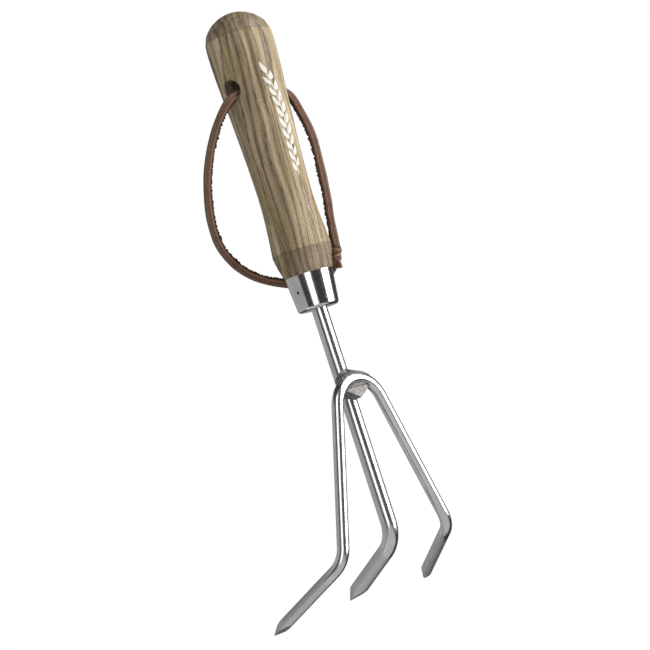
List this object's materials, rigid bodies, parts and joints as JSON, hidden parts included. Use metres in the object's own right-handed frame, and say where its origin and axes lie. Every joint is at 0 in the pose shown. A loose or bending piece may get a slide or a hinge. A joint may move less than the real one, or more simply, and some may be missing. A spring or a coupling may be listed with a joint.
{
  "type": "hand rake",
  "caption": "Hand rake: turned ash grip, tapered steel ferrule, straight steel shank, splayed round tines with hooked ground points, and a leather hanging loop that swings.",
  "frame": {"origin": "on the handle's axis at its slimmest place, the waist that the hand closes round", "axes": "+Z along the handle to its butt, +Y the way the tines' hooks point, X across the tines and along the strap hole"},
  "size_m": [0.1173, 0.0539, 0.3],
  "materials": {
    "ash_wood": "sanded ash, oiled, dark open grain along the handle",
    "ferrule_steel": "polished stainless steel",
    "pin_steel": "punched, dull",
    "rod_steel": "polished along the shafts, satin ground hooks and points",
    "weld_steel": "matt blasted weld metal",
    "leather": "red-brown vegetable tanned thong, raw cut edges"
  },
  "bodies": {
    "rake": {"handle": "ash_wood", "ferrule": "ferrule_steel", "ferrule_pin": "pin_steel", "shank_centre_tine": "rod_steel", "outer_tine_fork": "rod_steel", "head_weld": "weld_steel", "arch_web": "weld_steel"},
    "strap_loop": {"strap": "leather", "strap_knot": "leather"}
  },
  "joints": [
    {"name": "strap_swing", "type": "hinge", "parent": "rake", "child": "strap_loop", "pos_m": [0, 0, 0.0507], "axis": [1, 0, 0], "range_deg": [0, 180]}
  ]
}
